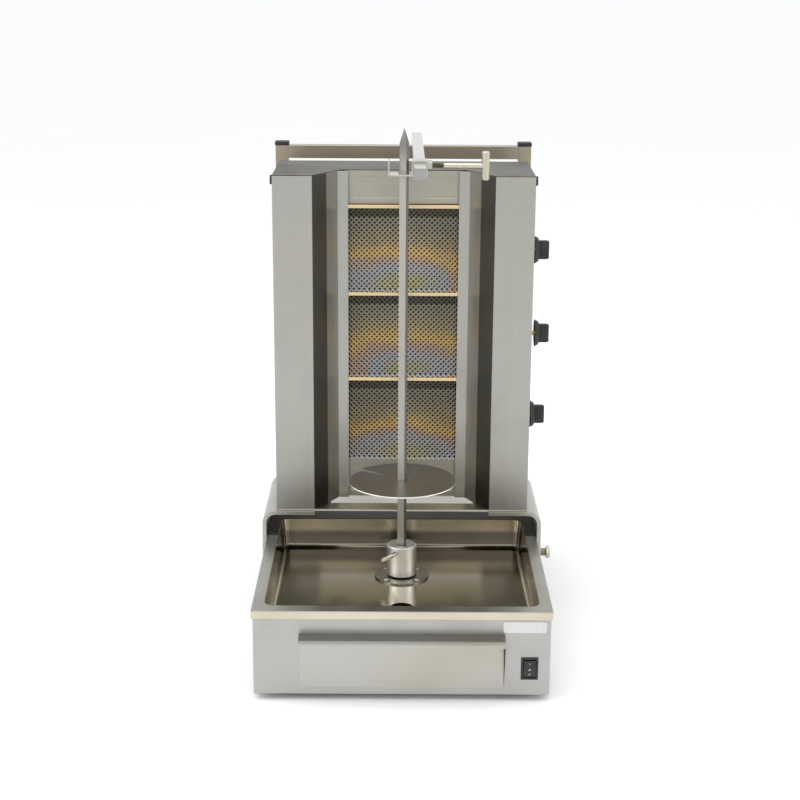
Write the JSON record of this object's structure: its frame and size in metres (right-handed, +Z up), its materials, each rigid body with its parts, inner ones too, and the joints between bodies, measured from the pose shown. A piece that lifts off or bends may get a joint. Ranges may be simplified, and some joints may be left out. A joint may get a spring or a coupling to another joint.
{
  "type": "rotisserie oven",
  "caption": "Vertical gas rotisserie grill: base with drip tray and drawer, sliding heater with radiant burners, and an upright turning skewer steadied by a rear arm.",
  "frame": {"origin": "on the ground plane that the feet stand on, at the point straight below the axis of the spit", "axes": "+Z up along the spit; +Y to the back, away from a person facing the drawer and the burners; +X to that person's right, where the gas knobs are"},
  "size_m": [0.5416, 0.7735, 0.9205],
  "materials": {
    "panel_steel": "satin, brushed across",
    "tray_steel": "bright rolled, slightly browned",
    "drawer_steel": "satin with a yellowish patina",
    "heater_steel": "satin, brushed upright",
    "lid_steel": "satin, heat-darkened",
    "frame_steel": "satin",
    "bracket_steel": "satin",
    "skewer_steel": "bright drawn bar",
    "disc_steel": "dull rolled plate",
    "hub_aluminium": "turned",
    "fastener_steel": "bright zinc",
    "clamp_steel": "satin with weld marks",
    "guard_steel": "heat-tinted gold to blue",
    "case_steel": "dark heat-resistant enamel",
    "tile_ceramic": "matt, porous",
    "valve_brass": "machined",
    "pipe_steel": "zinc primer",
    "motor_paint": "semi-gloss",
    "inner_zinc": "galvanised",
    "black_plastic": "matt black, slightly shiny on edges",
    "switch_plastic": "semi-gloss black",
    "foot_rubber": "matt",
    "badge_metal": "satin, blank"
  },
  "bodies": {
    "base": {"base_floor": "panel_steel", "front_panel": "panel_steel", "side_panel_left": "panel_steel", "side_panel_right": "panel_steel", "rear_panel": "panel_steel", "drip_tray": "tray_steel", "rear_deck": "tray_steel", "feet": "foot_rubber", "drawer_runners": "inner_zinc", "gear_motor": "motor_paint", "gearbox": "motor_paint", "motor_bracket": "inner_zinc", "shaft_flange": "hub_aluminium", "flange_screws": "fastener_steel", "shaft_seal": "foot_rubber", "switch_bezel": "switch_plastic", "blank_badge": "badge_metal", "cable_gland": "black_plastic", "post_left": "frame_steel", "post_right": "frame_steel", "crossbar": "frame_steel", "arm": "frame_steel", "end_caps": "black_plastic"},
    "rocker": {"rocker": "switch_plastic"},
    "drawer": {"drawer_box": "drawer_steel", "drawer_front": "drawer_steel"},
    "spindle": {"drive_shaft": "fastener_steel", "hub": "hub_aluminium"},
    "wing_screw": {"wing_screw": "fastener_steel"},
    "skewer": {"skewer": "skewer_steel", "disc_pin": "skewer_steel"},
    "meat_disc": {"meat_disc": "disc_steel"},
    "clamp": {"clamp_sleeve": "clamp_steel", "stirrup": "clamp_steel"},
    "clamp_screw": {"clamp_screw": "fastener_steel"},
    "heater": {"bracket_left": "bracket_steel", "bracket_right": "bracket_steel", "guide_bolts": "fastener_steel", "heater_shell": "heater_steel", "heater_lid": "lid_steel", "heater_floor": "heater_steel", "column_left": "heater_steel", "column_right": "heater_steel", "upper_panel": "heater_steel", "lower_panel": "heater_steel", "burner_bodies": "case_steel", "burner_tiles": "tile_ceramic", "mesh_guards": "guard_steel", "gas_manifold": "pipe_steel", "gas_valves": "valve_brass", "feed_pipes": "pipe_steel", "thermocouples": "valve_brass", "side_plugs": "black_plastic"},
    "stem_bottom": {"valve_stem_bottom": "valve_brass"},
    "stem_middle": {"valve_stem_middle": "valve_brass"},
    "stem_top": {"valve_stem_top": "valve_brass"},
    "knob_bottom": {"gas_knob_bottom": "black_plastic"},
    "knob_middle": {"gas_knob_middle": "black_plastic"},
    "knob_top": {"gas_knob_top": "black_plastic"},
    "lock_knob": {"lock_knob": "fastener_steel"}
  },
  "joints": [
    {"name": "heater_slide", "type": "slide", "parent": "base", "child": "heater", "axis": [0, 1, 0], "range_m": [-0.02, 0.13]},
    {"name": "rocker_tilt", "type": "hinge", "parent": "base", "child": "rocker", "pos_m": [0.2133, -0.293, 0.06], "axis": [1, 0, 0], "range_deg": [-8, 8]},
    {"name": "drawer_slide", "type": "slide", "parent": "base", "child": "drawer", "axis": [0, -1, 0], "range_m": [0, 0.2]},
    {"name": "spit_turn", "type": "hinge", "parent": "base", "child": "spindle", "pos_m": [0, 0, 0.13], "axis": [0, 0, 1], "continuous": true},
    {"name": "wing_screw_turn", "type": "hinge", "parent": "spindle", "child": "wing_screw", "pos_m": [-0.00749, -0.01854, 0.16], "axis": [-0.3746, -0.9272, 0], "range_deg": [0, 360]},
    {"name": "skewer_lift", "type": "slide", "parent": "spindle", "child": "skewer", "axis": [0, 0, 1], "range_m": [0, 0.05]},
    {"name": "disc_lift", "type": "slide", "parent": "skewer", "child": "meat_disc", "axis": [0, 0, 1], "range_m": [0, 0.3]},
    {"name": "clamp_slide", "type": "slide", "parent": "base", "child": "clamp", "axis": [0, -1, 0], "range_m": [0, 0.055]},
    {"name": "clamp_screw_turn", "type": "hinge", "parent": "clamp", "child": "clamp_screw", "pos_m": [0.09, 0.001, 0.858], "axis": [1, 0, 0], "range_deg": [0, 360]},
    {"name": "valve_push_bottom", "type": "slide", "parent": "heater", "child": "stem_bottom", "axis": [-1, 0, 0], "range_m": [0, 0.003], "stiffness_N_per_m": 1500, "springref_m": -0.002},
    {"name": "gas_knob_turn_bottom", "type": "hinge", "parent": "stem_bottom", "child": "knob_bottom", "pos_m": [0.25, 0.1005, 0.3876], "axis": [1, 0, 0], "range_deg": [0, 210]},
    {"name": "valve_push_middle", "type": "slide", "parent": "heater", "child": "stem_middle", "axis": [-1, 0, 0], "range_m": [0, 0.003], "stiffness_N_per_m": 1500, "springref_m": -0.002},
    {"name": "gas_knob_turn_middle", "type": "hinge", "parent": "stem_middle", "child": "knob_middle", "pos_m": [0.25, 0.1005, 0.5413], "axis": [1, 0, 0], "range_deg": [0, 210]},
    {"name": "valve_push_top", "type": "slide", "parent": "heater", "child": "stem_top", "axis": [-1, 0, 0], "range_m": [0, 0.003], "stiffness_N_per_m": 1500, "springref_m": -0.002},
    {"name": "gas_knob_turn_top", "type": "hinge", "parent": "stem_top", "child": "knob_top", "pos_m": [0.25, 0.1005, 0.695], "axis": [1, 0, 0], "range_deg": [0, 210]},
    {"name": "lock_knob_turn", "type": "hinge", "parent": "heater", "child": "lock_knob", "pos_m": [0.262, 0.072, 0.126], "axis": [1, 0, 0], "range_deg": [0, 360]}
  ]
}
